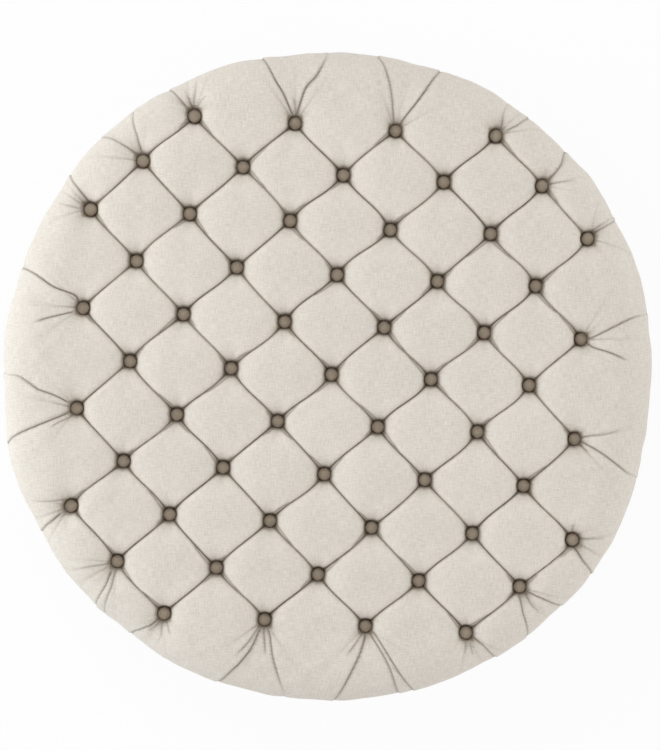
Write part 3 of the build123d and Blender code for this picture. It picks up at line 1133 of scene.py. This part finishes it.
def make_cover():
    """The tufted sheet, turned in under the welt and closed over the foam."""
    steps = 48
    mesh, flat, (u, v, column, row) = laid_out(steps)
    x, y = gathered_to_pleats(flat[:, 0].copy(), flat[:, 1].copy())
    points, marks = cover_surface(u, v, x, y)
    points = points + puff(column / steps, row / steps)
    put_points(mesh, points)
    put_uv(mesh, "cloth", np.stack((x, y), axis=1))
    for name, values in marks.items():
        put_values(mesh, name, values)

    bm = opened(mesh)
    edge = [e for e in bm.edges if e.is_boundary]
    inner = board_inside + 0.0003
    for radius, height in ((board_edge + 0.0008, seam), (inner, seam + 0.0006),
                           (inner, slab_top + 0.0002)):
        made = bmesh.ops.extrude_edge_only(bm, edges=edge)["geom"]
        for vert in (g for g in made if isinstance(g, bmesh.types.BMVert)):
            vert.co = pushed(vert.co, radius, height)
        edge = [g for g in made if isinstance(g, bmesh.types.BMEdge) and g.is_boundary]
    bmesh.ops.holes_fill(bm, edges=edge, sides=0)
    faces_out(bm)
    cover = piece("tufted_linen", closed(bm, mesh), cover_linen, "linen", "tufted_cover")


def make_buttons():
    """Domed buttons covered in cloth, turned at each spot, that lean a little at the rim."""
    bm = bmesh.new()
    edge_shade_layer = bm.verts.layers.float.new("edge")
    uv_layer = bm.loops.layers.uv.new("cloth")
    half, level = button_width / 2 - 0.0009, button_foot + 0.0006
    # Shares of the half width, with heights, from the top of the dome round to the back.
    profile = ((0.0, 0.0066), (0.22, 0.00652), (0.44, 0.0062), (0.64, 0.0056), (0.80, 0.0047),
               (0.91, 0.0036), (0.975, 0.0024), (1.0, 0.0012), (0.985, 0.0002),
               (0.93, -0.0006), (0.0, -0.0006))
    line = [(r * half, z) for r, z in profile]
    # Painted shade: darker towards the dome's rolled edge, where the pit's shadow falls.
    marks = [ease((r - 0.80) / 0.20) for r, _ in profile]
    for i, j in button_spots:
        place, out = wrap(*(np.array([c]) for c in button_place(i, j)))
        axis = (Vector(out[0]) * 0.45 + Vector((0, 0, 0.55))).normalized()
        lean = Vector((0, 0, 1)).rotation_difference(axis).to_matrix().to_4x4()
        new = spin_line(bm, line, 28, layer=edge_shade_layer, marks=marks)
        spun = random.uniform(0, math.pi)
        for face in {f for vert in new for f in vert.link_faces}:
            for loop in face.loops:
                cx, cy = loop.vert.co.x, loop.vert.co.y
                loop[uv_layer].uv = (cx * math.cos(spun) - cy * math.sin(spun) + i * 0.1,
                                     cx * math.sin(spun) + cy * math.cos(spun) + j * 0.1)
        spot = Matrix.Translation((place[0][0], place[0][1], level)) @ lean
        bmesh.ops.transform(bm, matrix=spot, verts=new)
    faces_out(bm)
    piece("covered_buttons", bm, button_cloth, "button_cloth", "buttons")


# The side and the underside

def turned(profile, steps, cloth):
    """Turns a closed profile of (radius, height) round the middle. cloth gives the UV of an
    angle and a place."""
    bm = bmesh.new()
    spin_line(bm, profile, steps, ring=True)
    faces_out(bm)
    layer = bm.loops.layers.uv.new("cloth")
    for face in bm.faces:
        _, base = polar(face.calc_center_median())
        for loop in face.loops:
            _, angle = polar(loop.vert.co)
            angle = base + (angle - base + math.pi) % math.tau - math.pi
            loop[layer].uv = cloth(angle, loop.vert.co)
    return bm


def make_welt():
    """Piping: a soft round cord in cloth cut on the cross, flat where it meets the frame."""
    low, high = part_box("welt")
    thick, flattened, flat_half = 0.0047, 0.92, 0.0018
    middle_r, middle_z = high.x - thick, (low.z + high.z) / 2
    profile = [(middle_r + thick * math.cos(a), middle_z + thick * flattened * math.sin(a))
               for a in (k * math.tau / 16 for k in range(16))]
    profile[7:10] = [(board_edge + 0.0008, middle_z + flat_half), (board_edge + 0.0006, middle_z),
                     (board_edge + 0.0008, middle_z - flat_half)]
    bm = turned(profile, 288,
                lambda a, c: (a * middle_r * 0.7 + c.z, c.z - a * middle_r * 0.7))
    phases = np.random.RandomState(23).uniform(0, math.tau, 5)
    for vert in bm.verts:
        r, a = polar(vert.co)
        if r > board_edge + 0.003:
            wave = sum(math.sin(k * a + p) / 2 for k, p in zip((5, 11, 19, 37, 61), phases))
            vert.co = pushed(vert.co, r + 0.00025 * wave, vert.co.z + 0.0002 * wave)
    welt = piece("welt_cord", bm, band_linen, "linen", "welt")


def make_band():
    """The upright band: a soft face, a turned-under hem, and a seam at the back."""
    low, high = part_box("side_band")
    inner, outer = board_edge + 0.0006, high.x - 0.0004
    hem_in = 0.4502
    top, foot, rows = high.z - 0.004, low.z + 0.006, 34
    profile = [(inner, high.z - 0.0002), (outer - 0.0030, high.z - 0.0002),
               (outer - 0.0008, high.z - 0.0016)]
    profile += [(outer, top + (foot - top) * k / rows) for k in range(rows + 1)]
    profile += [(outer - 0.0006, low.z + 0.0026), (outer - 0.0022, low.z + 0.0007),
                (outer - 0.0050, low.z + 0.0002), (hem_in + 0.0006, low.z + 0.0002),
                (hem_in, low.z + 0.0008), (hem_in + 0.0006, low.z + 0.0016),
                (inner, low.z + 0.0019)]
    bm = turned(profile, 420, lambda a, c: (a * outer, c.z))
    pick = np.random.RandomState(31)
    long_waves = [(k, pick.uniform(0, math.tau)) for k in (3, 7, 12, 17, 23)]
    short_waves = [(k, pick.uniform(0, math.tau)) for k in (47, 71, 97, 131)]
    fullness, unevenness, pucker = 0.0012, 0.0009, 0.00055
    for vert in bm.verts:
        r, a = polar(vert.co)
        if r < outer - 0.002 or vert.co.z > high.z - 0.001:
            continue
        t = (vert.co.z - low.z) / (high.z - low.z)
        slow = sum(math.sin(k * a + p + 1.3 * t) for k, p in long_waves) / 5
        quick = sum(math.sin(k * a + p + 0.8 * math.sin(5 * t)) for k, p in short_waves) / 4
        # The cloth puckers where it is caught under the welt and under the base.
        caught = math.exp(-(1 - t) / 0.10) + 0.5 * math.exp(-t / 0.06)
        full = fullness * math.sin(math.pi * min(1.0, max(0.0, t)))
        back = ((a - math.pi / 2 + math.pi) % math.tau - math.pi) * outer
        stitch = -0.0016 * math.exp(-(back / 0.0016) ** 2)
        stitch += 0.0006 * math.exp(-((abs(back) - 0.0062) / 0.0042) ** 2)
        move = full + unevenness * slow + pucker * quick * caught + stitch
        vert.co = pushed(vert.co, r + move, vert.co.z)
    band = piece("band_linen", bm, band_linen, "linen", "side_band")


def make_under_cloth():
    """Black cloth stretched under the base and held by staples."""
    low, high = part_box("dust_cloth")
    reach, rings, sag = high.x, 22, 0.0024
    radii = [reach * (1 - (1 - k / rings) ** 1.3) for k in range(rings, -1, -1)]
    skin = (high.z - low.z) * 0.7
    bm = bmesh.new()
    spin_line(bm, [(r, float(high.z - 0.0002 - sag * (1 - (r / reach) ** 2)
                             * ease((reach - r) / 0.11) - skin)) for r in radii], 120)
    phase = np.random.RandomState(5).uniform(0, math.tau, 4)
    for vert in bm.verts:
        r, a = polar(vert.co)
        tugs = math.sin(40 * a + phase[0]) + 0.6 * math.sin(23 * a + phase[1])
        near_edge = math.exp(-(reach - r) / 0.035)
        vert.co.z -= 0.0004 * (1 + tugs / 2) * near_edge * ease((reach - r) / 0.02)
    faces_out(bm)
    if sum(f.normal.z for f in bm.faces) > 0:
        bmesh.ops.reverse_faces(bm, faces=bm.faces)
    cloth = piece("under_cloth", bm, under_cloth, "dust_cloth", "dust_cloth")
    solid = cloth.modifiers.new("thickness", "SOLIDIFY")
    solid.thickness, solid.offset = skin, -1


def make_staples():
    """A ring of wire staples, none quite square to it."""
    bm = bmesh.new()
    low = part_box("dust_cloth")[0].z + 0.00015
    ring, count = 0.4415, 56
    for k in range(count):
        made = bmesh.ops.create_cube(bm, size=1.0)["verts"]
        a = math.tau * k / count + random.uniform(-0.008, 0.008)
        bmesh.ops.scale(bm, vec=(0.0009, 0.0100, 0.0005), verts=made)
        made = bevelled(bm, list({e for vert in made for e in vert.link_edges}), 0.00016, 1)
        spot = (Matrix.Rotation(a, 4, "Z")
                @ Matrix.Translation((ring + random.uniform(-0.002, 0.002), 0, low))
                @ Matrix.Rotation(random.uniform(-0.25, 0.25), 4, "Z"))
        bmesh.ops.transform(bm, matrix=spot, verts=made)
    faces_out(bm)
    piece("staples", bm, steel, "steel")


def make_leg(number):
    """A square leg that tapers to the floor, its edges eased."""
    node = f"leg_{number}"
    foot_share = 34 / 56
    low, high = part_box(node)
    cx, cy = (low.x + high.x) / 2, (low.y + high.y) / 2
    top = (high.x - low.x) / 2
    bm = bmesh.new()
    bmesh.ops.create_cube(bm, size=1.0)
    for vert in bm.verts:
        half, z = (top, high.z) if vert.co.z > 0 else (top * foot_share, low.z)
        vert.co = (cx + math.copysign(half, vert.co.x), cy + math.copysign(half, vert.co.y), z)
    upright = [e for e in bm.edges if abs(e.verts[0].co.z - e.verts[1].co.z) > 0.01]
    bevelled(bm, upright, 0.0042, 5)
    for level, offset, segments in ((low.z, 0.0016, 3), (high.z, 0.0007, 2)):
        round_it = [e for e in bm.edges if all(abs(v.co.z - level) < 1e-5 for v in e.verts)]
        bevelled(bm, round_it, offset, segments)
    faces_out(bm)
    leg = piece(f"tapered_{node}", bm, leg_wood, "leg_wood", node)
    sharpen(leg.data, 40)


make_cover()
make_buttons()
make_welt()
make_band()
make_under_cloth()
make_staples()
for number in (1, 2, 3, 4):
    make_leg(number)

# The frame's own nodes, by the start of their names.
finishes = {
    "button_ties": twine, "foam_slab": foam, "tufting_board": plywood, "base_ring": plywood,
    "post_": pine, "rail_": pine, "hoop_panel": hardboard, "leg_block": pine,
    "glide_": glide_plastic, "hanger_bolt": steel, "tee_nut": steel, "leg_": leg_wood,
    "dust_cloth": under_cloth, "buttons": button_cloth,
}
for name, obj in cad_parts.items():
    finish = next((finishes[start] for start in finishes if name.startswith(start)), band_linen)
    obj.data.materials.clear()
    obj.data.materials.append(finish)


# Floor, light and camera

def plain_stage():
    """A white floor that keeps the shadow."""
    bm = bmesh.new()
    bmesh.ops.create_grid(bm, x_segments=2, y_segments=2, size=14.0)
    mesh = closed(bm, "floor")
    material = bpy.data.materials.new("white floor")
    b, surface = bare_tree(material, "OutputMaterial")
    matt = b.new("BsdfDiffuse", (0.86, 0.86, 0.86, 1))
    glow = b.new("Emission", (1, 1, 1, 1))
    seen, straight = b.seen_straight()
    mixed = b.mix_shaders(b.times(straight, 0.93), matt, glow)
    # From below the floor is clear, so that the underside can be looked at.
    behind = b.new("NewGeometry").outputs["Backfacing"]
    clear = b.new("BsdfTransparent")
    from_below = b.times(behind, seen.outputs["Is Camera Ray"])
    b.fill(surface, b.mix_shaders(from_below, mixed, clear).outputs[0])
    mesh.materials.append(material)
    floor = linked("floor", mesh)


def soft_light():
    """An even pale sky that shows white, and six soft round lamps."""
    world = bpy.data.worlds.new("studio")
    bpy.context.scene.world = world
    b, surface = bare_tree(world, "OutputWorld")
    air = b.new("Background", (0.97, 0.985, 1.0, 1), 0.570)
    white = b.new("Background", (1, 1, 1, 1), 1.0)
    b.fill(surface, b.mix_shaders(b.seen_straight()[1], air, white).outputs[0])
    for name, place, aim_height, size, power, colour in (
            ("key", (-1.2, 1.5, 3.4), 0.35, 2.2, 31.4, (1.0, 0.985, 0.965)),
            ("fill", (2.6, -1.6, 2.6), 0.3, 2.6, 19.0, (1.0, 0.975, 0.94)),
            ("left card", (-2.9, -0.2, 1.1), 0.35, 1.8, 39.0, (0.94, 0.98, 1.0)),
            ("right card", (3.0, 0.2, 0.8), 0.35, 1.8, 16.1, (1.0, 0.98, 0.94)),
            ("near card", (-0.3, -3.0, 0.8), 0.35, 1.8, 8.5, (1.0, 0.985, 0.955)),
            ("far card", (0.3, 3.0, 0.8), 0.35, 1.8, 10, (1.0, 0.99, 0.975))):
        data = bpy.data.lights.new(name, "AREA")
        data.shape, data.size, data.energy, data.color = "DISK", size, power, colour
        lamp = linked(name, data)
        lamp.location = place
        aim = Vector((0, 0, aim_height)) - Vector(place)
        lamp.rotation_euler = aim.to_track_quat("-Z", "Y").to_euler()


def look_down():
    """The camera straight above, at the photograph's framing."""
    above, level = 5.0, 0.392
    width, height = picture_px
    data = bpy.data.cameras.new("camera")
    camera = linked("camera", data)
    shift_x, shift_y = width / 2 - middle_px[0], middle_px[1] - height / 2
    data.lens = px_per_metre * above * data.sensor_width / height
    data.clip_end = 60
    right = Vector((math.cos(turn), math.sin(turn), 0))
    up = Vector((-math.sin(turn), math.cos(turn), 0))
    camera.location = (right * (shift_x / px_per_metre) + up * (shift_y / px_per_metre)
                       + Vector((0, 0, level + above)))
    camera.rotation_euler = (0, 0, turn)
    bpy.context.scene.camera = camera


plain_stage()
soft_light()
look_down()
bpy.context.scene.view_settings.view_transform = "Standard"
